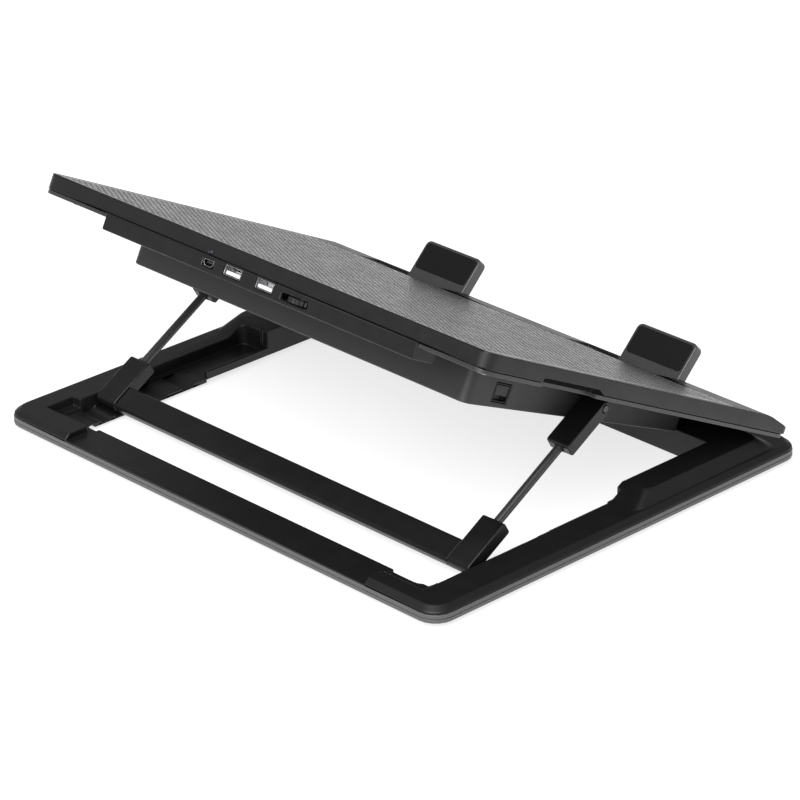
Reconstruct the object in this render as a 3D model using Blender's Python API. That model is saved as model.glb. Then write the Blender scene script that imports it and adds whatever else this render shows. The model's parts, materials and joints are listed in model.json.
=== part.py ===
"""Laptop cooling pad: a base frame, a hinged deck with a fan, and a folding strut that props the deck up.

Lengths are in millimetres until a mesh is written, and +Z is up. The ports face +Y. The user sits at -Y and
looks along +Y, so left is -X and right is +X.
"""

import math

import bmesh
import bpy
from mathutils import Matrix

MM = 0.001
GAP = 0.3  # between pieces that touch
ARC = 5  # steps in a rounded corner

# Base
WIDTH = 350.0
BASE_DEPTH = 290.0
HALF_W = WIDTH / 2
HALF_D = BASE_DEPTH / 2
CORNER_R = 12.0
LIP_Z0, LIP_Z1 = 3.0, 7.8
RIM_Z = 12.0
FRONT_Z = 19.5
RAMP_FOOT_Y, RAMP_TOP_Y = -10.0, -24.0
LEDGE_Z = 5.0
LOW_Z = 8.3
RACK_Y0, RACK_Y1 = 26.0, 112.0
RACK_Z0, NOTCH_Z, RACK_Z = 1.4, 2.6, 4.6
OPEN_X0, OPEN_X1 = -142.0, 134.6
OPEN_Y0, OPEN_Y1 = -93.5, 121.0
LOW_HALF = 121.5

# Deck, in its own frame: the origin is on the hinge axis, +Y runs up the slope and +Z is its normal
TILT = 26.2
HINGE = (-117.0, 18.7)
DECK_Y0, DECK_Y1 = -15.0, 256.0
TOP_Z = 16.0
SLAB_Z = 4.5
FLAT_Y0 = 10.0
NOSE_Z = 9.8
WALL = 2.5
MESH_HALF_W = 171.5
MESH_Y0, MESH_Y1 = 36.0, 253.5
MESH_T = 1.0
PORT_X0, PORT_X1 = -127.0, 119.3
PORT_Y0 = 239.0
PORT_Z = -2.5
BOX_X0, BOX_X1 = -133.3, 132.8
BOX_Y0, BOX_Y1 = 27.0, 213.0
BOX_Z0, BOX_Z1 = -10.0, -18.5  # floor at the front and at the rear
BOX_WALL = 2.0
FAN_X, FAN_Y = -4.5, 120.0
FAN_SIDE, FAN_R = 140.0, 67.0
FAN_Z0, FAN_Z1 = -5.0, 9.0

# Ports, centres on the rear face
USB_X = (13.8, -11.4)
USB_Z = 3.4
USB_W, USB_H, USB_L = 13.2, 5.8, 13.0
MINI_X, MINI_Z = 33.3, 2.9
MINI_W, MINI_H, MINI_L = 7.8, 4.0, 9.0
DIAL_X, DIAL_Y, DIAL_Z = -35.4, 248.9, 1.9
DIAL_R, DIAL_T = 8.2, 2.8
DIAL_SLOT_W, DIAL_SLOT_H = 20.4, 4.2
LED_X, LED_Z, LED_R = 33.6, 9.2, 1.1
SWITCH_Y, SWITCH_Z = 186.0, -9.0
SWITCH_W, SWITCH_H = 13.0, 11.0

# Stoppers
STOP_X = 86.0
STOP_HALF_W = 22.5
STOP_Y, STOP_Z = 8.0, 12.5
STOP_T, STOP_TALL = 7.0, 25.5
STOP_LEAN = 18.6
POCKET_EXTRA = 24.0

# Strut, in its own frame: the origin is on its pivot and +Y runs to the crossbar
PIVOT_Y, PIVOT_Z = 120.3, -3.2
STRUT_DROP = 30.6
STOP_TILTS = (20.5, TILT, 32.0, 38.5, 45.0)
ARM_X = 143.0
ARM_HALF_W = 8.0
SLEEVE_T = 8.0
UPPER_END = 32.0
LOWER_TOP, STRUT_END = 87.0, 117.0
SOCKET_Y0, SOCKET_Y1 = 18.0, 101.0
ROD_R = 2.5
BAR_Y0 = 105.0
BAR_T = 6.6


# ---------------------------------------------------------------- shape helpers


def clear_scene():
    for obj in list(bpy.data.objects):
        bpy.data.objects.remove(obj, do_unlink=True)


def frame(name, parent=None, location=(0, 0, 0), turn_x=0.0):
    """An empty on a joint's axis, which the pieces of a moving body hang from."""
    empty = bpy.data.objects.new(name, None)
    bpy.context.collection.objects.link(empty)
    empty.parent = parent
    empty.location = [v * MM for v in location]
    empty.rotation_euler = (math.radians(turn_x), 0, 0)
    return empty


def material(name, colour, roughness, metallic=0.0):
    made = bpy.data.materials.get(name) or bpy.data.materials.new(name)
    made.use_nodes = True
    shader = made.node_tree.nodes["Principled BSDF"]
    shader.inputs["Base Color"].default_value = (*colour, 1)
    shader.inputs["Roughness"].default_value = roughness
    shader.inputs["Metallic"].default_value = metallic
    return made


def from_bmesh(name, mesh, parent=None, look=None):
    bmesh.ops.recalc_face_normals(mesh, faces=mesh.faces)
    bmesh.ops.scale(mesh, vec=(MM, MM, MM), verts=mesh.verts)
    data = bpy.data.meshes.new(name)
    mesh.to_mesh(data)
    mesh.free()
    obj = bpy.data.objects.new(name, data)
    bpy.context.collection.objects.link(obj)
    obj.parent = parent
    if look:
        data.materials.append(material(name, *look))
    return obj


def loft(name, rings, parent=None, look=None):
    """A closed solid through rings of 3-D points that all have the same count."""
    mesh = bmesh.new()
    loops = [[mesh.verts.new(p) for p in ring] for ring in rings]
    count = len(loops[0])
    for low, high in zip(loops, loops[1:]):
        for i in range(count):
            j = (i + 1) % count
            mesh.faces.new((low[i], low[j], high[j], high[i]))
    mesh.faces.new(loops[0][::-1])
    mesh.faces.new(loops[-1])
    return from_bmesh(name, mesh, parent, look)


def rounded(x0, x1, y0, y1, radius, steps=ARC):
    """Outline of a rectangle with rounded corners, anticlockwise."""
    points = []
    corners = ((x1 - radius, y0 + radius, -90), (x1 - radius, y1 - radius, 0),
               (x0 + radius, y1 - radius, 90), (x0 + radius, y0 + radius, 180))
    for cx, cy, start in corners:
        for i in range(steps + 1):
            a = math.radians(start + 90 * i / steps)
            points.append((cx + radius * math.cos(a), cy + radius * math.sin(a)))
    return points


def circle(cx, cy, radius, steps=24):
    turn = 2 * math.pi / steps
    return [(cx + radius * math.cos(i * turn), cy + radius * math.sin(i * turn)) for i in range(steps)]


def slab(name, outline, z0, z1, parent=None, look=None):
    """An outline in X and Y, extruded in Z."""
    return loft(name, [[(x, y, z) for x, y in outline] for z in (z0, z1)], parent, look)


def along_x(name, outline, x0, x1, parent=None, look=None):
    """An outline in Y and Z, extruded in X."""
    return loft(name, [[(x, y, z) for y, z in outline] for x in (x0, x1)], parent, look)


def along_y(name, outline, y0, y1, parent=None, look=None):
    """An outline in X and Z, extruded in Y."""
    return loft(name, [[(x, y, z) for x, z in outline] for y in (y0, y1)], parent, look)


def block(name, x0, x1, y0, y1, z0, z1, parent=None, look=None):
    return slab(name, [(x0, y0), (x1, y0), (x1, y1), (x0, y1)], z0, z1, parent, look)


def boolean(obj, tools, operation):
    """Applies the tools one by one and takes them out of the scene."""
    for tool in tools:
        tool.parent = obj.parent
        step = obj.modifiers.new(tool.name, "BOOLEAN")
        step.operation = operation
        step.solver = "EXACT"
        step.object = tool
    bpy.context.view_layer.update()
    graph = bpy.context.evaluated_depsgraph_get()
    result = bpy.data.meshes.new_from_object(obj.evaluated_get(graph))
    obj.modifiers.clear()
    obj.data = result
    for tool in tools:
        bpy.data.objects.remove(tool, do_unlink=True)
    return obj


def cut(obj, *tools):
    return boolean(obj, tools, "DIFFERENCE")


def join(obj, *tools):
    return boolean(obj, tools, "UNION")


def keep(obj, *tools):
    return boolean(obj, tools, "INTERSECT")


def smooth(obj, degrees=35):
    obj.data.shade_smooth()
    obj.data.set_sharp_from_angle(angle=math.radians(degrees))
    return obj


# ---------------------------------------------------------------- looks

BLACK = ((0.022, 0.022, 0.024), 0.42)
BOX_BLACK = ((0.035, 0.035, 0.037), 0.45)
LIGHT_GREY = ((0.36, 0.36, 0.37), 0.5)
RUBBER = ((0.02, 0.02, 0.02), 0.9)
STEEL = ((0.62, 0.62, 0.63), 0.3, 1.0)
BLACK_STEEL = ((0.03, 0.03, 0.03), 0.28, 0.8)
MESH_METAL = ((0.45, 0.45, 0.46), 0.45, 0.9)
BOARD = ((0.02, 0.09, 0.04), 0.5)
WHITE_PLASTIC = ((0.75, 0.75, 0.72), 0.45)
LENS = ((0.1, 0.25, 0.6), 0.2)
COPPER = ((0.45, 0.2, 0.08), 0.4, 1.0)
LEAD_SLEEVE = ((0.015, 0.015, 0.015), 0.6)


# ---------------------------------------------------------------- base


SCREW_SPOTS = [(sx * 164.5, y) for sx in (-1, 1) for y in (-110.0, 20.0, 106.0)]
FOOT_SPOTS = {"front_left": (-158, -126), "front_right": (158, -126),
              "rear_left": (-158, 122), "rear_right": (158, 122)}


def base_outline(inset, radius=None):
    radius = CORNER_R - inset / 2 if radius is None else radius
    return rounded(-HALF_W + inset, HALF_W - inset, -HALF_D + inset, HALF_D - inset, max(radius, 3))


def screw(name, x, y, head_z, up, parent=None):
    """A pan head with a short shank that goes up."""
    head = slab(name, circle(x, y, 2.6, 12), head_z, head_z + 1.3, parent, STEEL)
    shank = slab("shank", circle(x, y, 1.4, 8), head_z + 1.0, head_z + up)
    return smooth(join(head, shank))


def make_base_tray():
    tray = slab("base_tray", base_outline(0), LIP_Z0, LIP_Z1, None, LIGHT_GREY)
    bed = slab("bed", base_outline(3.0), LIP_Z0 + 1.5, LIP_Z1 + 5)
    window = slab("window", base_outline(21.0, 4), LIP_Z0 - 5, LIP_Z1 + 5)
    groove = cut(slab("groove", base_outline(-2), 5.2, 5.5), slab("core", base_outline(0.35), 5, 5.7))
    cut(tray, bed, window, groove)
    for x, y in SCREW_SPOTS:
        cut(tray, slab("hole", circle(x, y, 1.9, 12), 2, 6))
    return tray


def foot_y(tilt):
    """Where the strut's foot stands on the rack when the deck is at this tilt."""
    a = math.radians(tilt)
    pivot_y = HINGE[0] + PIVOT_Y * math.cos(a) - PIVOT_Z * math.sin(a)
    pivot_z = HINGE[1] + PIVOT_Y * math.sin(a) + PIVOT_Z * math.cos(a)
    drop = pivot_z - RACK_Z - SLEEVE_T / 2
    return pivot_y + math.sqrt(STRUT_END ** 2 - drop ** 2)


def rack_outline():
    """What is cut away above the rack: flat, with a notch for the strut's foot at each stop."""
    points = [(RACK_Y0, RACK_Z)]
    for y in sorted(foot_y(tilt) for tilt in STOP_TILTS):
        points += [(y - 6, RACK_Z), (y - 2, NOTCH_Z), (y + 3.5, NOTCH_Z), (y + 4, RACK_Z)]
    return points + [(RACK_Y1, RACK_Z), (RACK_Y1, FRONT_Z), (RACK_Y0, FRONT_Z)]


def make_base_frame():
    body = loft("base_frame", [
        [(x, y, LIP_Z1 + GAP) for x, y in base_outline(0.3)],
        [(x, y, 9.2) for x, y in base_outline(0.3)],
        [(x, y, RIM_Z) for x, y in base_outline(3.6)],
    ], None, BLACK)
    seat = slab("seat", base_outline(3.4, 11), LIP_Z0 + 1.8, 9.0)
    inner = slab("inner", base_outline(22.0, 4), LIP_Z0 + 0.2, 9.0)
    front = loft("front", [
        [(x, y, 11.0) for x, y in rounded(-HALF_W + 4, HALF_W - 4, -131, RAMP_FOOT_Y + 1.2, 8)],
        [(x, y, FRONT_Z) for x, y in rounded(-HALF_W + 9, HALF_W - 9, -119, RAMP_TOP_Y, 8)],
    ])
    racks = [block("rack", side * 120, side * 152.6, RACK_Y0, RACK_Y1, RACK_Z0, LIP_Z1) for side in (-1, 1)]
    join(body, seat, inner, front, *racks)
    high = 30.0
    cut(body,
        slab("opening", rounded(OPEN_X0, OPEN_X1, OPEN_Y0, OPEN_Y1, 7), 0, high),
        block("rear_low", -LOW_HALF, LOW_HALF, 108, 150, LOW_Z, high),
        block("left_ledge", -152, -130, RAMP_TOP_Y + 4, 119, LEDGE_Z, high),
        block("left_front", -149, -130, OPEN_Y0, -15, LEDGE_Z + 1, high),
        slab("right_pocket", rounded(137.4, 156, -22, 70, 5), LEDGE_Z, high),
        block("right_lip", 120, 139, -22.5, 40, 8.6, high),
        block("right_ledge", 120, 152, 74, 119, LEDGE_Z, high),
        block("right_rear", 120, 158, 108, 128, 6.6, high),
        block("left_rear", -152, -120, 108, 131, 6.6, high))
    for side in (-1, 1):
        cut(body, block("groove", side * 91, side * 129, -123.5, -110.5, 13.2, high))
    for side in (-1, 1):
        cut(body, along_x("rack_top", rack_outline(), side * 120, side * 152))
    for x, y in SCREW_SPOTS:
        cut(body, slab("pilot", circle(x, y, 1.8, 8), 0, 8.5))
    return body


def make_feet():
    for place, (x, y) in FOOT_SPOTS.items():
        foot = slab(f"foot_{place}", rounded(x - 11, x + 11, y - 6, y + 6, 5.5), 0, LIP_Z0 - GAP, None, RUBBER)
        smooth(foot)


def make_base_screws():
    for i, (x, y) in enumerate(SCREW_SPOTS, 1):
        screw(f"base_screw_{i}", x, y, 1.4, 6.0)


def make_hinge_brackets():
    y, z = HINGE
    for side, word in ((1, "right"), (-1, "left")):
        plate = block(f"hinge_bracket_{word}", side * 92, side * 128, y - 5.5, y + 5.5, 13.5, 14.3, None, BLACK_STEEL)
        for x0, x1 in ((92, 99.4), (120.6, 128)):
            cheek = [(y - 4, 13.8), (y + 4, 13.8)]
            cheek += [(y + 4 * math.cos(a), z + 4 * math.sin(a)) for a in (math.pi * i / 8 for i in range(9))]
            join(plate, along_x("cheek", cheek, side * x0, side * x1))
        cut(plate, along_x("bore", circle(y, z, 2.3, 12), side * 80, side * 140))
        pin = along_x(f"hinge_pin_{word}", circle(y, z, 2.0, 16), side * 91.5, side * 128.5, None, STEEL)
        smooth(pin)


# ---------------------------------------------------------------- deck


def deck_profile(z0, grow=0.0):
    """The deck's outline seen from its side, from z0 up."""
    return [(DECK_Y0 + 2.0 - grow, z0), (DECK_Y1, z0), (DECK_Y1, TOP_Z - 0.8), (DECK_Y1 - 0.8, TOP_Z),
            (FLAT_Y0, TOP_Z), (FLAT_Y0 - 5, TOP_Z - 0.6), (DECK_Y0 + 1.2, NOSE_Z + 1.2),
            (DECK_Y0, NOSE_Z - 0.2), (DECK_Y0 + 0.6, 7.0)]


def deck_plan(inset=0.0, radius=8.0):
    return rounded(-HALF_W + inset, HALF_W - inset, DECK_Y0 + inset, DECK_Y1 - inset, radius)


def port_cutters():
    """Openings in the rear wall for the sockets, the dial and the lamp."""
    y0, y1 = DECK_Y1 - 6, DECK_Y1 + 4
    tools = []
    for x in USB_X:
        tools.append(along_y("usb", rounded(x - 7, x + 7, USB_Z - 3.3, USB_Z + 3.3, 0.6, 2), y0, y1))
    tools.append(along_y("mini", rounded(MINI_X - 4.4, MINI_X + 4.4, MINI_Z - 2.5, MINI_Z + 2.5, 0.8, 2), y0, y1))
    tools.append(along_y("dial", rounded(DIAL_X - DIAL_SLOT_W / 2, DIAL_X + DIAL_SLOT_W / 2, DIAL_Z - DIAL_SLOT_H / 2,
                                         DIAL_Z + DIAL_SLOT_H / 2, 1.0, 2), y0, y1))
    tools.append(along_y("lamp", circle(LED_X, LED_Z, LED_R + 0.3, 12), y0, y1))
    return tools


def stopper_pocket(x):
    """The well that a stopper folds back into, with a finger notch on its +X side."""
    x0, x1 = x - STOP_HALF_W - 0.7, x + STOP_HALF_W + 0.7
    well = block("well", x0, x1, STOP_Y - 5.2, STOP_Y + STOP_TALL + 0.8, STOP_Z - 4.2, 30)
    notch = block("notch", x1 - 2, x1 + POCKET_EXTRA, STOP_Y + 2, STOP_Y + STOP_TALL - 3, STOP_Z - 3.2, 30)
    return join(well, notch)


def make_deck_frame(deck):
    body = along_x("deck_frame", deck_profile(7.0), -HALF_W, HALF_W, deck, BLACK)
    keep(body, slab("plan", deck_plan(), -20, 40))
    rear = block("rear_wall", PORT_X0, PORT_X1, DECK_Y1 - WALL, DECK_Y1 - 0.01, PORT_Z, 9.5)
    cheek_1 = block("cheek_1", PORT_X0, PORT_X0 + 2, PORT_Y0, DECK_Y1 - 1, PORT_Z, 9.4)
    cheek_2 = block("cheek_2", PORT_X1 - 2, PORT_X1, PORT_Y0, DECK_Y1 - 1, PORT_Z, 9.4)
    cut(body,
        block("hollow", -HALF_W + WALL, HALF_W - WALL, MESH_Y0 + 1, DECK_Y1 - WALL, 0, 12.6),
        block("air", -166, 166, 43, 247, 0, 30),
        block("bed", -MESH_HALF_W - GAP, MESH_HALF_W + GAP, MESH_Y0 - GAP, MESH_Y1 + GAP, TOP_Z - MESH_T - GAP, 30))
    join(body, rear, cheek_1, cheek_2)
    ribs = [block("rib", x - 1.25, x + 1.25, 42, 248, 10.5, TOP_Z - MESH_T - GAP) for x in (-83, 83)]
    join(body, *ribs)
    cut(body, *port_cutters())
    for side in (-1, 1):
        cut(body, stopper_pocket(side * STOP_X))
        x0, x1 = side * STOP_X - 28, side * STOP_X + 28
        cut(body, along_x("pin_bore", circle(STOP_Y, STOP_Z, 1.5, 12), x0, x1))
    for side in (-1, 1):
        scoop = [(150, SLAB_Z), (162, 9.6), (206, 9.6), (208, 9.0), (208, 0), (150, 0)]
        cut(body, along_x("scoop", scoop, side * 169.5, side * 180))
    return body


def make_mesh_plate(deck):
    outline = rounded(-MESH_HALF_W, MESH_HALF_W, MESH_Y0, MESH_Y1, 0.8, 2)
    return slab("mesh_plate", outline, TOP_Z - MESH_T, TOP_Z, deck, MESH_METAL)


def knuckle(side):
    """A lug under the shell that turns on the hinge pin."""
    arc = [(4 * math.cos(a), 4 * math.sin(a)) for a in (math.pi + math.pi * i / 8 for i in range(9))]
    return along_x("knuckle", arc + [(4, SLAB_Z + 1), (-4, SLAB_Z + 1)], side * 99.8, side * 120.2)


def make_deck_shell(deck):
    """The light lower shell: a plate with a window over the fan box and a bay for the ports."""
    shell = slab("deck_shell", rounded(-HALF_W + 0.2, HALF_W - 0.2, DECK_Y0 + 2, DECK_Y1 - 0.2, 8),
                 SLAB_Z, 7.0 - GAP, deck, LIGHT_GREY)
    cut(shell,
        block("bay", PORT_X0 - GAP, PORT_X1 + GAP, PORT_Y0 - GAP, DECK_Y1 + 5, 0, 10),
        block("window", BOX_X0 + 8, BOX_X1 - 8, BOX_Y0 + 8, BOX_Y1 - 8, 0, 10))
    join(shell, knuckle(-1), knuckle(1))
    for side in (-1, 1):
        cut(shell,
            along_x("bore", circle(0, 0, 2.3, 12), side * 90, side * 130),
            block("scoop", side * 169, side * 180, 162, 208, 0, 10))
    for x, y in DECK_SCREWS:
        cut(shell, slab("hole", circle(x, y, 1.8, 10), 0, 10))
    return shell


DECK_SCREWS = [(sx * 160, y) for sx in (-1, 1) for y in (20, 240)]


def make_deck_screws(deck):
    for i, (x, y) in enumerate(DECK_SCREWS, 1):
        screw(f"deck_screw_{i}", x, y, SLAB_Z - 1.7, 4.0, deck)


def make_port_cover(deck):
    """The underside and the front wall of the port block."""
    x0, x1 = PORT_X0 + 2 + GAP, PORT_X1 - 2 - GAP
    section = [(PORT_Y0, PORT_Z), (DECK_Y1 - WALL - GAP, PORT_Z), (DECK_Y1 - WALL - GAP, PORT_Z + 1.2),
               (PORT_Y0 + 1.5, PORT_Z + 1.2), (PORT_Y0 + 1.5, SLAB_Z + 4), (PORT_Y0, SLAB_Z + 4)]
    return along_x("port_cover", section, x0, x1, deck, BLACK)


def box_profile(inset, top):
    """The fan box's outline seen from its side: its floor falls towards the rear."""
    slope = (BOX_Z1 - BOX_Z0) / (BOX_Y1 - BOX_Y0)
    y0, y1 = BOX_Y0 + inset, BOX_Y1 - inset
    return [(y0, BOX_Z0 + slope * inset + inset), (y1, BOX_Z1 - slope * inset + inset), (y1, top), (y0, top)]


FLOOR_SLOPE = math.atan((BOX_Z1 - BOX_Z0) / (BOX_Y1 - BOX_Y0))


def floor_z(y):
    return BOX_Z0 + (BOX_Z1 - BOX_Z0) * (y - BOX_Y0) / (BOX_Y1 - BOX_Y0)


def make_fan_housing(deck):
    body = along_x("fan_housing", box_profile(0, SLAB_Z - GAP), BOX_X0, BOX_X1, deck, BOX_BLACK)
    keep(body, slab("plan", rounded(BOX_X0, BOX_X1, BOX_Y0, BOX_Y1, 6), -40, 20))
    hollow = along_x("hollow", box_profile(BOX_WALL, 20), BOX_X0 + BOX_WALL, BOX_X1 - BOX_WALL)
    keep(hollow, slab("plan", rounded(BOX_X0 + 2, BOX_X1 - 2, BOX_Y0 + 2, BOX_Y1 - 2, 4), -40, 25))
    cut(body, hollow)
    x0, x1 = BOX_X0 - 3, BOX_X0 + 6
    window = [(SWITCH_Y - SWITCH_W / 2, SWITCH_Z - SWITCH_H / 2), (SWITCH_Y + SWITCH_W / 2, SWITCH_Z - SWITCH_H / 2),
              (SWITCH_Y + SWITCH_W / 2, SWITCH_Z + SWITCH_H / 2), (SWITCH_Y - SWITCH_W / 2, SWITCH_Z + SWITCH_H / 2)]
    cut(body,
        slab("vent", circle(FAN_X, FAN_Y, FAN_R + 1.5, 40), -40, 0),
        along_x("switch", window, x0, x1),
        along_x("pin_bore", circle(PIVOT_Y, PIVOT_Z, 2.3, 12), -160, 160))
    return body


def make_fan_grille(deck):
    """Rings and spokes, flush in the floor of the fan box."""
    centre = frame("grille_frame", deck, (FAN_X, FAN_Y, floor_z(FAN_Y)), math.degrees(FLOOR_SLOPE))
    half = 0.9
    grille = slab("fan_grille", circle(0, 0, FAN_R + 0.8, 40), half - 0.8, half + 0.8, centre, BLACK)
    cut(grille, slab("core", circle(0, 0, FAN_R - 3, 40), -5, 8))
    parts = [slab("hub", circle(0, 0, 17, 24), half - 0.75, half + 0.75)]
    for outer in (31, 43, 55):
        ring = slab("ring", circle(0, 0, outer, 32), half - 0.7, half + 0.7)
        parts.append(cut(ring, slab("core", circle(0, 0, outer - 2.2, 32), -5, 8)))
    for i in range(6):
        spoke = block("spoke", 12, FAN_R - 1.5, -1.2, 1.2, half - 0.65, half + 0.65)
        spoke.data.transform(Matrix.Rotation(math.radians(60 * i + 15), 4, "Z"))
        parts.append(spoke)
    return join(grille, *parts)


def make_fan(deck):
    half = FAN_SIDE / 2
    body = slab("fan_frame", rounded(FAN_X - half, FAN_X + half, FAN_Y - half, FAN_Y + half, 6, 3),
                FAN_Z0, FAN_Z1, deck, BOX_BLACK)
    cut(body, slab("bore", circle(FAN_X, FAN_Y, FAN_R - 1, 40), -20, 20))
    parts = [slab("seat", circle(FAN_X, FAN_Y, 16, 24), FAN_Z0 + 0.1, FAN_Z0 + 2)]
    for i in range(4):
        arm = block("arm", 10, FAN_R + 1, -2, 2, FAN_Z0 + 0.2, FAN_Z0 + 2.1)
        turn = Matrix.Rotation(math.radians(90 * i + 45), 4, "Z")
        arm.data.transform(Matrix.Translation((FAN_X * MM, FAN_Y * MM, 0)) @ turn)
        parts.append(arm)
    join(body, *parts)
    stator = slab("fan_stator", circle(FAN_X, FAN_Y, 12, 20), FAN_Z0 + 2 + GAP, FAN_Z0 + 8, deck, COPPER)
    cut(stator, slab("bore", circle(FAN_X, FAN_Y, 2.3, 12), -20, 20))
    axis = frame("fan_axis", deck, (FAN_X, FAN_Y, 0))
    rotor = slab("fan_rotor", circle(0, 0, 16, 28), FAN_Z0 + 2.6, FAN_Z1 - 1.2, axis, BOX_BLACK)
    cut(rotor, slab("cup", circle(0, 0, 13.5, 24), FAN_Z0, FAN_Z1 - 3))
    blades = []
    for i in range(7):
        blades.append(fan_blade(i * 360 / 7))
    join(rotor, *blades)
    shaft = slab("fan_shaft", circle(0, 0, 1.6, 12), FAN_Z0 + 2.7, FAN_Z1 - 3 - GAP, axis, STEEL)
    smooth(stator)
    smooth(shaft)
    return body


def fan_blade(turn):
    """One blade: a curved strip that climbs as it turns."""
    rings = []
    for r in (14.8, 30, 46, 63):
        sweep = math.radians(9 + 0.16 * (r - 15))
        lean = math.radians(0.45 * (r - 15))
        ring = []
        for a, z in ((-sweep, FAN_Z0 + 3.4), (sweep, FAN_Z1 - 3.2), (sweep, FAN_Z1 - 1.8), (-sweep, FAN_Z0 + 4.8)):
            ring.append((r * math.cos(a - lean), r * math.sin(a - lean), z))
        rings.append(ring)
    blade = loft("blade", rings)
    blade.data.transform(Matrix.Rotation(math.radians(turn), 4, "Z"))
    return blade


def make_board(deck):
    board = block("main_board", -62, 56, PORT_Y0 + 2, DECK_Y1 - WALL - 0.5, -0.9, 0.0, deck, BOARD)
    return board


def make_usb_sockets(deck):
    y0, y1 = DECK_Y1 - USB_L, DECK_Y1 - 0.4
    for i, x in enumerate(USB_X, 1):
        shell = along_y(f"usb_shell_{i}", rounded(x - USB_W / 2, x + USB_W / 2, USB_Z - USB_H / 2,
                                                  USB_Z + USB_H / 2, 0.6, 2), y0, y1, deck, STEEL)
        cut(shell, along_y("bore", rounded(x - USB_W / 2 + 0.4, x + USB_W / 2 - 0.4, USB_Z - USB_H / 2 + 0.4,
                                           USB_Z + USB_H / 2 - 0.4, 0.4, 2), y0 + 0.6, y1 + 3))
        tongue = block(f"usb_tongue_{i}", x - 5.6, x + 5.6, y0 + 0.6 + GAP, y1 - 1.0, USB_Z - 2.2, USB_Z - 0.3,
                       deck, WHITE_PLASTIC)
        join(tongue, block("root", x - 5.9, x + 5.9, y0 + 0.6 + GAP, y0 + 4, USB_Z - 2.25, USB_Z + 2.2))


def mini_outline(shrink):
    w, h = MINI_W / 2 - shrink, MINI_H / 2 - shrink
    return [(MINI_X - w + 1.2, MINI_Z - h), (MINI_X + w - 1.2, MINI_Z - h), (MINI_X + w - 0.6, MINI_Z - h + 0.9),
            (MINI_X + w, MINI_Z), (MINI_X + w, MINI_Z + h), (MINI_X - w, MINI_Z + h), (MINI_X - w, MINI_Z),
            (MINI_X - w + 0.6, MINI_Z - h + 0.9)]


def make_mini_socket(deck):
    y0, y1 = DECK_Y1 - MINI_L, DECK_Y1 - 0.5
    shell = along_y("mini_usb_shell", mini_outline(0), y0, y1, deck, STEEL)
    cut(shell, along_y("bore", mini_outline(0.4), y0 + 0.6, y1 + 3))
    return block("mini_usb_tongue", MINI_X - 2.4, MINI_X + 2.4, y0 + 0.6 + GAP, y1 - 1.2, MINI_Z - 0.1, MINI_Z + 0.8,
                 deck, BLACK)


def make_dial(deck):
    axis = frame("dial_axis", deck, (DIAL_X, DIAL_Y, DIAL_Z))
    points = []
    teeth = 24
    for i in range(teeth * 2):
        a = math.pi * i / teeth
        r = DIAL_R - (0.5 if i % 2 else 0)
        points.append((r * math.cos(a), r * math.sin(a)))
    wheel = slab("speed_dial", points, -DIAL_T / 2, DIAL_T / 2, axis, BLACK)
    cut(wheel, slab("bore", circle(0, 0, 1.7, 12), -5, 5))
    post = slab("dial_post", circle(DIAL_X, DIAL_Y, 1.35, 12), 0.0 + GAP, DIAL_Z + 2.4, deck, STEEL)
    smooth(post)


def make_lamp(deck):
    lamp = along_y("power_lamp", circle(LED_X, LED_Z, LED_R, 12), DECK_Y1 - 5, DECK_Y1 - 0.2, deck, LENS)
    smooth(lamp)


def make_switch(deck):
    """A cup behind the wall of the fan box, and the knob that slides in it."""
    x = BOX_X0
    y0, y1 = SWITCH_Y - SWITCH_W / 2 + GAP, SWITCH_Y + SWITCH_W / 2 - GAP
    z0, z1 = SWITCH_Z - SWITCH_H / 2 + GAP, SWITCH_Z + SWITCH_H / 2 - GAP
    cup = block("switch_body", x + 0.3, x + 6, y0, y1, z0, z1, deck, BLACK)
    cut(cup, block("well", x - 2, x + 3.5, y0 + 0.8, y1 - 0.8, z0 + 0.8, z1 - 0.8))
    block("switch_knob", x + 0.6, x + 3.5 - GAP, y0 + 1.2, y1 - 1.2, z0 + 3.6, z1 - 1.1, deck, BOX_BLACK)


def make_fan_lead(deck):
    """The fan's lead, clipped along the deck from the fan to the board."""
    curve = bpy.data.curves.new("fan_lead", "CURVE")
    curve.dimensions = "3D"
    line = curve.splines.new("POLY")
    ends = [(40, 191.5, 1.5), (40, 197, 4.0), (40, 202, 8.6), (38, 216, 9.2), (36, 228, 10.2), (30, 238.5, 11.0),
            (25.5, 243.5, 8.8), (24, 246, 1.6)]
    line.points.add(len(ends) - 1)
    for point, spot in zip(line.points, ends):
        point.co = [v * MM for v in spot] + [1]
    curve.bevel_depth = 1.0 * MM
    curve.bevel_resolution = 1
    curve.use_fill_caps = True
    lead = bpy.data.objects.new("fan_lead", curve)
    bpy.context.collection.objects.link(lead)
    lead.parent = deck
    curve.materials.append(material("fan_lead", *LEAD_SLEEVE))
    return lead


def make_stoppers(deck):
    for side, word in ((1, "right"), (-1, "left")):
        axis = frame(f"stopper_axis_{word}", deck, (side * STOP_X, STOP_Y, STOP_Z), STOP_LEAN)
        half = STOP_T / 2
        foot = [(half * math.cos(a), half * math.sin(a)) for a in (math.pi + math.pi * i / 6 for i in range(7))]
        flap = along_x(f"stopper_{word}", foot + [(half, STOP_TALL), (-half, STOP_TALL)],
                       -STOP_HALF_W, STOP_HALF_W, axis, BLACK)
        plate = rounded(-STOP_HALF_W, STOP_HALF_W, -30, STOP_TALL, 3.5)
        keep(flap, along_y("shape", plate, -10, 10))
        cut(flap, along_x("bore", circle(0, 0, 1.6, 12), -40, 40))
        pin = along_x(f"stopper_pin_{word}", circle(STOP_Y, STOP_Z, 1.2, 10),
                      side * STOP_X - 27, side * STOP_X + 27, deck, STEEL)
        smooth(pin)


# ---------------------------------------------------------------- strut


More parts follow.
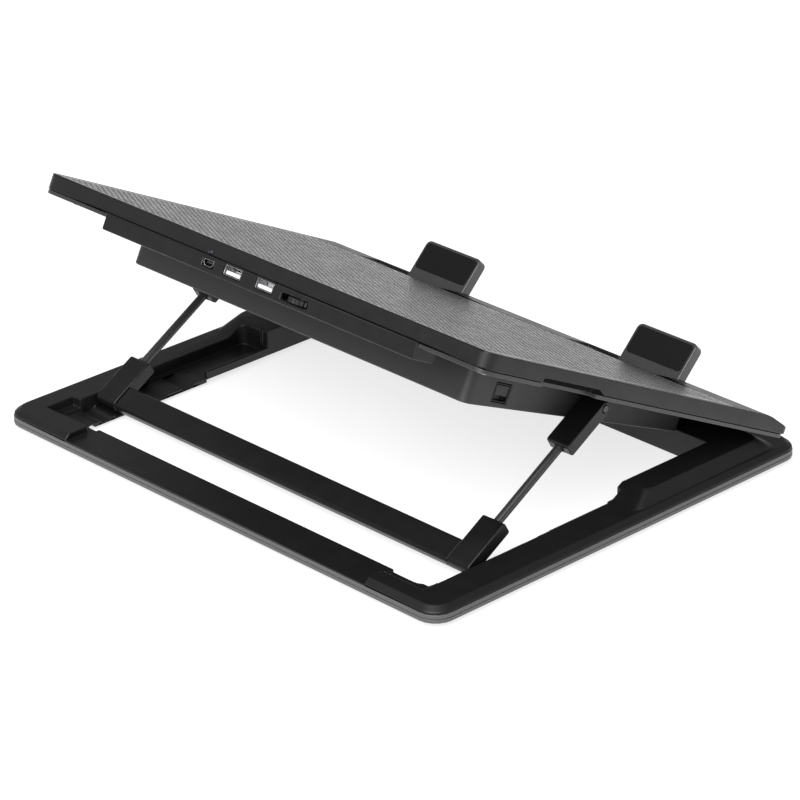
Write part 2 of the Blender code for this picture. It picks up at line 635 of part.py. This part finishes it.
def sleeve_outline(round_y, square_y):
    """A sleeve seen from its side: round at one end and square at the other."""
    half = SLEEVE_T / 2
    toward = 1 if square_y > round_y else -1
    arc = [(round_y - toward * half * math.cos(a), half * math.sin(a))
           for a in (math.pi * (i / 10 - 0.5) for i in range(11))]
    return arc + [(square_y - toward, half), (square_y, half - 1), (square_y, 1 - half), (square_y - toward, -half)]


def make_arm(x, word, strut):
    """One side of the strut: an upper sleeve, a rod and a lower sleeve."""
    x0, x1 = x - ARM_HALF_W, x + ARM_HALF_W
    upper = along_x(f"strut_sleeve_{word}", sleeve_outline(0, UPPER_END), x0, x1, strut, BLACK)
    cut(upper,
        along_x("bore", circle(0, 0, 2.3, 12), x0 - 5, x1 + 5),
        along_y("socket", circle(x, 0, ROD_R + GAP, 16), SOCKET_Y0, UPPER_END + 5))
    lower = along_x(f"strut_foot_{word}", sleeve_outline(STRUT_END, LOWER_TOP), x0, x1, strut, BLACK)
    cut(lower, along_y("socket", circle(x, 0, ROD_R + GAP, 16), LOWER_TOP - 5, SOCKET_Y1))
    rod = along_y(f"strut_rod_{word}", circle(x, 0, ROD_R, 16), SOCKET_Y0 + GAP, SOCKET_Y1 - GAP, strut, BLACK_STEEL)
    smooth(rod)


def make_strut(strut):
    for side, word in ((1, "right"), (-1, "left")):
        make_arm(side * ARM_X, word, strut)
    reach = ARM_X - ARM_HALF_W - GAP
    half = BAR_T / 2
    section = [(BAR_Y0, -half + 1), (BAR_Y0 + 1, -half), (STRUT_END + 2, -half), (STRUT_END + 3.6, -half + 1.4),
               (STRUT_END + 3.6, half - 1.4), (STRUT_END + 2, half), (BAR_Y0 + 1, half), (BAR_Y0, half - 1)]
    along_x("crossbar", section, -reach, reach, strut, BLACK)


def make_strut_pins(pivot):
    for side, word in ((1, "right"), (-1, "left")):
        inner = BOX_X1 - 6 if side > 0 else BOX_X0 + 6
        pin = along_x(f"strut_pin_{word}", circle(0, 0, 2.0, 16), inner, side * (ARM_X + 8.2), pivot, STEEL)
        smooth(pin)


# ---------------------------------------------------------------- assembly


def main():
    clear_scene()
    make_base_tray()
    make_base_frame()
    make_feet()
    make_base_screws()
    make_hinge_brackets()
    deck = frame("deck_axis", None, (0, *HINGE), TILT)
    for make in (make_deck_frame, make_mesh_plate, make_deck_shell, make_deck_screws, make_port_cover,
                 make_fan_housing, make_fan_grille, make_fan, make_board, make_usb_sockets, make_mini_socket,
                 make_dial, make_lamp, make_switch, make_fan_lead, make_stoppers):
        make(deck)
    pivot = frame("strut_pivot", deck, (0, PIVOT_Y, PIVOT_Z))
    strut = frame("strut_axis", pivot, (0, 0, 0), -TILT - STRUT_DROP)
    make_strut(strut)
    make_strut_pins(pivot)


main()
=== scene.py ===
"""The looks of a laptop cooling pad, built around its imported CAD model. Metres, in the frame's axes."""

import json
import math

import bmesh
import bpy
import numpy as np
from mathutils import Matrix, Vector

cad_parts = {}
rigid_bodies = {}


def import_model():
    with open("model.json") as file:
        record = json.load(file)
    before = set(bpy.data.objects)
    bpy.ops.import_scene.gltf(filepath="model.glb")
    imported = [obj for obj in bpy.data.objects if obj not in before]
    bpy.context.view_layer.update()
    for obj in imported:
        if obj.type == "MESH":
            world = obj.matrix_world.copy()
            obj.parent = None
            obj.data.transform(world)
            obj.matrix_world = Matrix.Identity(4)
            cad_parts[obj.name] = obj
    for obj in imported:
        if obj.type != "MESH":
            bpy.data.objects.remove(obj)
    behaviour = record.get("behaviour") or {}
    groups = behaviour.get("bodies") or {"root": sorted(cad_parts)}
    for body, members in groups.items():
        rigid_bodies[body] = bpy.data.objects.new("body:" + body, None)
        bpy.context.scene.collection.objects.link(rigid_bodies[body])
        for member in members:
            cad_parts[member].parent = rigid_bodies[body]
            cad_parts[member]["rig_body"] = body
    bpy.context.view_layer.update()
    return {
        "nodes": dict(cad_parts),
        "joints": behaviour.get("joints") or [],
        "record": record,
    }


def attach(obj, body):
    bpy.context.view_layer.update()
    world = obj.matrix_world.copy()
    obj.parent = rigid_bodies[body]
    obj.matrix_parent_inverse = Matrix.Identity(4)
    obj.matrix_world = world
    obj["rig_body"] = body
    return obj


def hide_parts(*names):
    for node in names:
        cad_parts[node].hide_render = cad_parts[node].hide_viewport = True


for startup in list(bpy.data.objects):
    bpy.data.objects.remove(startup)
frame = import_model()

MM = 0.001
NODES = frame["nodes"]
BODY_OF = {name: node["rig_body"] for name, node in NODES.items()}
SLOT_OF = {part["node"]: part["material_slot"] for part in frame["record"]["subparts"]}

# How the nodes' meshes are made ready for rounding.
WELD = 0.02 * MM
FLAT_ANGLE = math.radians(1.0)
EDGE_ANGLE = math.radians(32.0)
ROUND_STEPS = 2

# Nodes whose finish differs from the rest of their slot's.
VARIANTS = {
    # The deck shell's lip is darker than its slot's grey plastic: painted shade for the shadow under the
    # deck's overhang, laid over the whole lip.
    "deck_shell": "lip_painted_shade", "strut_pin_left": "black_steel", "strut_pin_right": "black_steel",
    "stopper_left": "stopper_plastic", "stopper_right": "stopper_plastic",
}

# How far each refined node's edges are rounded, in millimetres.
ROUNDING = {
    "base_frame": 0.7, "base_tray": 0.35, "deck_frame": 0.7, "deck_shell": 0.35, "port_cover": 0.3,
    "fan_housing": 0.8, "fan_frame": 0.4, "crossbar": 0.6, "switch_body": 0.3, "switch_knob": 0.3,
    "stopper_left": 0.8, "stopper_right": 0.8, "speed_dial": 0.2,
    "strut_sleeve_left": 0.7, "strut_sleeve_right": 0.7, "strut_foot_left": 0.7, "strut_foot_right": 0.7,
    "hinge_bracket_left": 0.2, "hinge_bracket_right": 0.2,
    "usb_shell_1": 0.12, "usb_shell_2": 0.12, "mini_usb_shell": 0.1,
    "usb_tongue_1": 0.15, "usb_tongue_2": 0.15, "mini_usb_tongue": 0.1, "power_lamp": 0.2,
    "foot_front_left": 0.4, "foot_front_right": 0.4, "foot_rear_left": 0.4, "foot_rear_right": 0.4,
}

# The plate's holes are diamonds in two sets of rows, each turned this far from the plate's long side.
ROW_TURN = math.radians(38.0)
ROW_PITCH = 3.5 * MM
HOLE_SHARE = 0.6
PLATE_MARGIN = 1.2 * MM
ON_CUT = 1e-7  # metres from the plate's edge that count as being on it

# The rubber pad on the side of each stopper that a laptop leans on.
PAD_INSET = 1.7 * MM
PAD_TALL = 19.0 * MM
PAD_CORNER = 2.2 * MM
PAD_GAP = 0.02 * MM
PAD_THICK = 0.35 * MM
PAD_ROUNDING = 0.45 * PAD_THICK
IN_FACE = 0.05 * MM  # how far from a face's plane its own vertices can be
LEAST_FACING = 0.3  # of a normal along +Y, for a face that looks up the slope

CAMERA_PLACE = (-1.3984, 1.3608, 0.9447)
CAMERA_HEADING = math.radians(-44.234)
CAMERA_PITCH = math.radians(25.199)
CAMERA_ROLL = math.radians(-0.267)
CAMERA_LENS = 171.6

FLOOR_REACH = 30.0
FLOOR_DROP = 0.2 * MM  # keeps the floor off the underside of the feet
FLOOR_DARK, FLOOR_LIGHT = (0.40,) * 3, (0.42,) * 3
FLOOR_PATCH = 0.5
FLOOR_GLOW = 0.74
SKY_GLOW = 0.32
SUN_FROM = (-0.35, 0.75, 0.85)
SUN_POWER = 4.2
SUN_SPREAD = math.radians(55)


def add_object(name, data):
    piece = bpy.data.objects.new(name, data)
    bpy.context.scene.collection.objects.link(piece)
    return piece


# ---------------------------------------------------------------- materials


def new_material(name):
    material = bpy.data.materials.new(name)
    material.use_nodes = True
    tree = material.node_tree
    tree.nodes.clear()
    output = tree.nodes.new("ShaderNodeOutputMaterial")
    shader = tree.nodes.new("ShaderNodeBsdfPrincipled")
    tree.links.new(shader.outputs["BSDF"], output.inputs["Surface"])
    return material, tree, shader


def noise(tree, size, detail=3.0):
    """Noise whose features are this many metres across."""
    place = tree.nodes.new("ShaderNodeTexCoord")
    scaling = tree.nodes.new("ShaderNodeMapping")
    scaling.inputs["Scale"].default_value = [1 / size] * 3
    texture = tree.nodes.new("ShaderNodeTexNoise")
    texture.inputs["Scale"].default_value = 1.0
    texture.inputs["Detail"].default_value = detail
    tree.links.new(place.outputs["Object"], scaling.inputs["Vector"])
    tree.links.new(scaling.outputs["Vector"], texture.inputs["Vector"])
    return texture.outputs["Fac"]


def spread(tree, value, low, high):
    """The middle of a noise's range, stretched over low to high."""
    change = tree.nodes.new("ShaderNodeMapRange")
    change.inputs["From Min"].default_value = 0.3
    change.inputs["From Max"].default_value = 0.7
    change.inputs["To Min"].default_value = low
    change.inputs["To Max"].default_value = high
    tree.links.new(value, change.inputs["Value"])
    return change.outputs["Result"]


def two_tone(tree, factor, dark, light):
    blend = tree.nodes.new("ShaderNodeMix")
    blend.data_type = "RGBA"
    blend.inputs["A"].default_value = (*dark, 1)
    blend.inputs["B"].default_value = (*light, 1)
    tree.links.new(factor, blend.inputs["Factor"])
    return blend.outputs["Result"]


def bump(tree, shader, height, strength, depth):
    relief = tree.nodes.new("ShaderNodeBump")
    relief.inputs["Strength"].default_value = strength
    relief.inputs["Distance"].default_value = depth
    tree.links.new(height, relief.inputs["Height"])
    tree.links.new(relief.outputs["Normal"], shader.inputs["Normal"])


def surface(name, dark, light, rough, patch, grain, strength, depth=0.03 * MM, metallic=0.0, specular=0.5):
    """A material of two close colours in soft patches, with uneven gloss and a fine grain."""
    material, tree, shader = new_material(name)
    shader.inputs["Metallic"].default_value = metallic
    shader.inputs["Specular IOR Level"].default_value = specular
    tree.links.new(two_tone(tree, noise(tree, patch), dark, light), shader.inputs["Base Color"])
    gloss = spread(tree, noise(tree, patch * 0.4, 5.0), rough - 0.05, rough + 0.05)
    tree.links.new(gloss, shader.inputs["Roughness"])
    bump(tree, shader, noise(tree, grain, 2.0), strength, depth)
    return material


def grey(level):
    return (level, level, level * 1.03)


def plastic(name, level, rough, grain=0.5 * MM, strength=0.25, specular=0.5):
    """Moulded plastic: a face material, and a paler, smoother one for its rounded edges."""
    face = surface(name, grey(level * 0.85), grey(level * 1.15), rough, 30 * MM, grain, strength,
                   specular=specular)
    edge = surface(name + "_edge", grey(level * 1.1), grey(level * 1.6), rough - 0.04, 12 * MM, grain,
                   strength * 0.4, specular=specular)
    return face, edge


def metal(name, level, rough, tint=(1, 1, 1)):
    """Bare metal: a face material, and a brighter, smoother one for its rounded edges."""
    dark = [level * 0.85 * t for t in tint]
    light = [level * 1.1 * t for t in tint]
    bright = [min(1, v * 1.15) for v in light]
    face = surface(name, dark, light, rough, 8 * MM, 0.3 * MM, 0.15, 0.01 * MM, 1.0)
    edge = surface(name + "_edge", light, bright, rough - 0.05, 8 * MM, 0.3 * MM, 0.1, 0.01 * MM, 1.0)
    return face, edge


def lamp_lens():
    """The smoky, half clear plastic of the indicator lamp."""
    material, tree, shader = new_material("lamp_lens")
    shader.inputs["Transmission Weight"].default_value = 0.5
    shader.inputs["IOR"].default_value = 1.46
    shader.inputs["Roughness"].default_value = 0.25
    tint = two_tone(tree, noise(tree, 1 * MM), (0.05, 0.06, 0.09), (0.10, 0.12, 0.18))
    tree.links.new(tint, shader.inputs["Base Color"])
    return material


def make_materials():
    """The face and edge materials of each of the record's slots."""
    lamp = lamp_lens()
    mesh_metal = surface("mesh_metal", grey(0.045), grey(0.06), 0.34, 25 * MM, 0.4 * MM, 0.2)
    black_steel = surface("black_steel", grey(0.02), grey(0.035), 0.3, 6 * MM, 0.3 * MM, 0.15, 0.01 * MM,
                          specular=0.6)
    board = surface("board", (0.004, 0.010, 0.006), (0.006, 0.016, 0.009), 0.35, 5 * MM, 0.6 * MM, 0.3)
    return {
        "black_plastic": plastic("black_plastic", 0.006, 0.45, specular=0.38),
        "strut_plastic": plastic("strut_plastic", 0.004, 0.36, strength=0.12, specular=0.4),
        "grey_plastic": plastic("grey_plastic", 0.075, 0.42, strength=0.15),
        "housing_plastic": plastic("housing_plastic", 0.024, 0.5, 0.7 * MM, 0.35),
        "grille_plastic": plastic("grille_plastic", 0.010, 0.45),
        "rotor_plastic": plastic("rotor_plastic", 0.016, 0.35, strength=0.1),
        "mesh_metal": (mesh_metal, mesh_metal),
        "rubber": plastic("rubber", 0.02, 0.75, 0.4 * MM, 0.4, 0.3),
        "black_steel": (black_steel, black_steel),
        "steel": metal("steel", 0.55, 0.3),
        "socket_metal": metal("socket_metal", 0.42, 0.26),
        "tongue_plastic": plastic("tongue_plastic", 0.75, 0.4, strength=0.05),
        "contact_plastic": plastic("contact_plastic", 0.03, 0.4),
        "board": (board, board),
        "copper": metal("copper", 0.9, 0.3, tint=(0.95, 0.55, 0.35)),
        "lamp_lens": (lamp, lamp),
        "lead_sleeve": plastic("lead_sleeve", 0.02, 0.5),
        # Darker than grey_plastic: painted shade for the deck shell's lip where it runs under the deck's
        # overhang, used on the whole lip.
        "lip_painted_shade": plastic("lip_painted_shade", 0.028, 0.4, strength=0.15),
        "stopper_plastic": plastic("stopper_plastic", 0.03, 0.3, strength=0.1, specular=0.7),
        "stopper_pad": plastic("stopper_pad", 0.0022, 0.6, 0.6 * MM, 0.4, 0.2),
    }


def finish_of(name, materials):
    """A node's face and edge materials: its slot's, or the variant that this node has."""
    return materials.get(VARIANTS.get(name), materials[SLOT_OF[name]])


def dress(piece, materials):
    piece.data.materials.clear()
    for material in materials:
        piece.data.materials.append(material)


# ---------------------------------------------------------------- refined nodes


def merged_mesh(name):
    """The node's mesh with its vertices welded and its flat faces made whole."""
    shape = bmesh.new()
    shape.from_mesh(NODES[name].data)
    bmesh.ops.remove_doubles(shape, verts=shape.verts, dist=WELD)
    bmesh.ops.dissolve_limit(shape, angle_limit=FLAT_ANGLE, verts=shape.verts, edges=shape.edges)
    bmesh.ops.connect_verts_concave(shape, faces=shape.faces)
    shape.verts.index_update()
    mesh = bpy.data.meshes.new(name + "_skin")
    mesh.from_pydata([v.co[:] for v in shape.verts], [], [[v.index for v in f.verts] for f in shape.faces])
    shape.free()
    return mesh


def round_edges(piece, width):
    """Rounds a smooth-shaded piece's sharp edges, and gives them its second material."""
    rounding = piece.modifiers.new("rounding", "BEVEL")
    rounding.width = width
    rounding.segments = ROUND_STEPS
    rounding.limit_method = "ANGLE"
    rounding.angle_limit = EDGE_ANGLE
    rounding.use_clamp_overlap = False
    rounding.harden_normals = True
    rounding.material = 1


def refine(name, width, materials):
    """A copy of the node with rounded edges, which stands for it."""
    mesh = merged_mesh(name)
    mesh.shade_smooth()
    piece = add_object(name + "_skin", mesh)
    dress(piece, materials)
    round_edges(piece, width)
    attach(piece, BODY_OF[name])
    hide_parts(name)


# ---------------------------------------------------------------- perforated plate


def deck_axes():
    """From the deck's own axes to the frame's: x across, y up the slope, z out of the plate."""
    hinge = next(joint for joint in frame["joints"] if joint["name"] == "deck_tilt")
    faces = NODES["mesh_plate"].data.polygons
    normal = max(faces, key=lambda face: face.area * (face.normal.z > 0)).normal
    return Matrix.Translation(hinge["pos_m"]) @ Matrix.Rotation(math.atan2(-normal.y, normal.z), 4, "X")


def local_box(name, axes):
    """The lowest and highest corner of a node's box in these axes."""
    back = axes.inverted()
    points = np.array([back @ v.co for v in NODES[name].data.vertices])
    return points.min(0), points.max(0)


def lattice(low, high):
    """Diamond cells over a rectangle, each with a diamond hole if it is clear of the margin."""
    middle = (low + high)[:2] / 2
    half = (high - low)[:2] / 2
    side = ROW_PITCH / math.sin(2 * ROW_TURN)
    step = np.array([math.cos(ROW_TURN), math.sin(ROW_TURN)]) * side
    count = int((half / step).sum() / 2) + 2
    index = np.arange(-count, count + 1)
    first, second = np.meshgrid(index, index, indexing="ij")
    corners = np.stack([(first - second) * step[0], (first + second) * step[1]], -1)
    width = 2 * count + 1
    points = list(corners.reshape(-1, 2) + middle)
    faces = []
    for i in range(width - 1):
        for j in range(width - 1):
            centre = (corners[i, j] + corners[i + 1, j + 1]) / 2
            if (abs(centre) - step > half).any():
                continue
            ring = [i * width + j, (i + 1) * width + j, (i + 1) * width + j + 1, i * width + j + 1]
            if (abs(centre) + step > half - PLATE_MARGIN).any():
                faces.append(ring)
                continue
            start = len(points)
            hub = centre + middle
            points += [hub + (points[corner] - hub) * HOLE_SHARE for corner in ring]
            faces += [[ring[k], ring[(k + 1) % 4], start + (k + 1) % 4, start + k] for k in range(4)]
    return points, faces


def trim(mesh, low, high):
    """Cuts a flat mesh off at the sides of a rectangle, and drops the vertices that no face uses."""
    shape = bmesh.new()
    shape.from_mesh(mesh)
    for side, limit in ((-1, low), (1, high)):
        for direction in ((side, 0, 0), (0, side, 0)):
            everything = shape.verts[:] + shape.edges[:] + shape.faces[:]
            bmesh.ops.bisect_plane(shape, geom=everything, dist=ON_CUT, plane_co=(*limit[:2], 0),
                                   plane_no=direction, clear_outer=True)
    loose = [v for v in shape.verts if not v.link_faces]
    bmesh.ops.delete(shape, geom=loose, context="VERTS")
    shape.to_mesh(mesh)
    shape.free()


def make_mesh_plate(materials):
    """The plate with its real holes, which stands for the plain one."""
    axes = deck_axes()
    low, high = local_box("mesh_plate", axes)
    points, faces = lattice(low, high)
    mesh = bpy.data.meshes.new("perforated_plate")
    mesh.from_pydata([(*point, high[2]) for point in points], [], faces)
    trim(mesh, low, high)
    mesh.transform(axes)
    plate = add_object("perforated_plate", mesh)
    dress(plate, materials)
    solid = plate.modifiers.new("thickness", "SOLIDIFY")
    solid.thickness = high[2] - low[2]
    solid.offset = -1
    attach(plate, BODY_OF["mesh_plate"])
    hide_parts("mesh_plate")


# ---------------------------------------------------------------- stopper pads


def rounded_rectangle(x0, x1, y0, y1, radius, steps=6):
    """Corner points of a rectangle with round corners, counter-clockwise."""
    points = []
    for quarter, (x, y) in enumerate(((x1 - radius, y1 - radius), (x0 + radius, y1 - radius),
                                      (x0 + radius, y0 + radius), (x1 - radius, y0 + radius))):
        for step in range(steps + 1):
            turn = (quarter + step / steps) * math.pi / 2
            points.append((x + radius * math.cos(turn), y + radius * math.sin(turn)))
    return points


def make_stopper_pad(side, materials):
    """A thin rubber face on the side of a stopper that a laptop leans on."""
    node = NODES["stopper_" + side]
    face = max(node.data.polygons, key=lambda face: face.area * (face.normal.y > LEAST_FACING))
    up = Vector((0, -face.normal.z, face.normal.y))
    centre = Vector(face.center)
    spots = [v.co - centre for v in node.data.vertices]
    spots = [spot for spot in spots if abs(spot.dot(face.normal)) < IN_FACE]
    across = [spot.x for spot in spots]
    along = [spot.dot(up) for spot in spots]
    outline = rounded_rectangle(min(across) + PAD_INSET, max(across) - PAD_INSET,
                                max(along) - PAD_TALL, max(along) - PAD_INSET, PAD_CORNER)
    shape = bmesh.new()
    lift = face.normal * PAD_GAP
    base = [shape.verts.new(centre + Vector((x, 0, 0)) + up * y + lift) for x, y in outline]
    flat = shape.faces.new(base)
    raised = bmesh.ops.extrude_face_region(shape, geom=[flat])["geom"]
    moved = [v for v in raised if isinstance(v, bmesh.types.BMVert)]
    bmesh.ops.translate(shape, verts=moved, vec=face.normal * PAD_THICK)
    bmesh.ops.recalc_face_normals(shape, faces=shape.faces)
    mesh = bpy.data.meshes.new("stopper_pad_" + side)
    shape.to_mesh(mesh)
    shape.free()
    mesh.shade_smooth()
    pad = add_object("stopper_pad_" + side, mesh)
    dress(pad, materials)
    round_edges(pad, PAD_ROUNDING)
    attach(pad, BODY_OF["stopper_" + side])


# ---------------------------------------------------------------- stage


def make_floor():
    """A pale plain floor, lit a little from below as a light table is."""
    mesh = bpy.data.meshes.new("floor")
    signs = [(-1, -1), (1, -1), (1, 1), (-1, 1)]
    corners = [(x * FLOOR_REACH, y * FLOOR_REACH, -FLOOR_DROP) for x, y in signs]
    mesh.from_pydata(corners, [], [(0, 1, 2, 3)])
    floor = add_object("floor", mesh)
    paint = surface("floor_paint", FLOOR_DARK, FLOOR_LIGHT, 0.7, FLOOR_PATCH, 3 * MM, 0.02, specular=0.1)
    shader = paint.node_tree.nodes["Principled BSDF"]
    shader.inputs["Emission Color"].default_value = (1, 1, 1, 1)
    shader.inputs["Emission Strength"].default_value = FLOOR_GLOW
    dress(floor, [paint])


def make_lights():
    world = bpy.data.worlds.new("studio")
    bpy.context.scene.world = world
    world.use_nodes = True
    background = world.node_tree.nodes["Background"]
    background.inputs["Color"].default_value = (1.0, 1.0, 1.0, 1)
    background.inputs["Strength"].default_value = SKY_GLOW
    data = bpy.data.lights.new("key", "SUN")
    data.energy = SUN_POWER
    data.angle = SUN_SPREAD
    key = add_object("key", data)
    key.rotation_mode = "QUATERNION"
    key.rotation_quaternion = Vector(SUN_FROM).to_track_quat("Z", "Y")


def make_camera():
    heading, pitch, roll = CAMERA_HEADING, CAMERA_PITCH, CAMERA_ROLL
    level = math.cos(pitch)
    forward = Vector((math.cos(heading) * level, math.sin(heading) * level, -math.sin(pitch)))
    right = forward.cross(Vector((0, 0, 1))).normalized()
    up = right.cross(forward)
    right, up = right * math.cos(roll) + up * math.sin(roll), up * math.cos(roll) - right * math.sin(roll)
    data = bpy.data.cameras.new("camera")
    data.lens = CAMERA_LENS
    camera = add_object("camera", data)
    turn = Matrix((right, up, -forward)).transposed().to_4x4()
    camera.matrix_world = Matrix.Translation(CAMERA_PLACE) @ turn
    bpy.context.scene.camera = camera
    bpy.context.scene.view_settings.view_transform = "Standard"


def main():
    materials = make_materials()
    for name, node in NODES.items():
        if name == "mesh_plate":
            make_mesh_plate(materials[SLOT_OF[name]])
        elif name in ROUNDING:
            refine(name, ROUNDING[name] * MM, finish_of(name, materials))
        else:
            dress(node, finish_of(name, materials)[:1])
    for side in ("left", "right"):
        make_stopper_pad(side, materials["stopper_pad"])
    make_floor()
    make_lights()
    make_camera()


main()
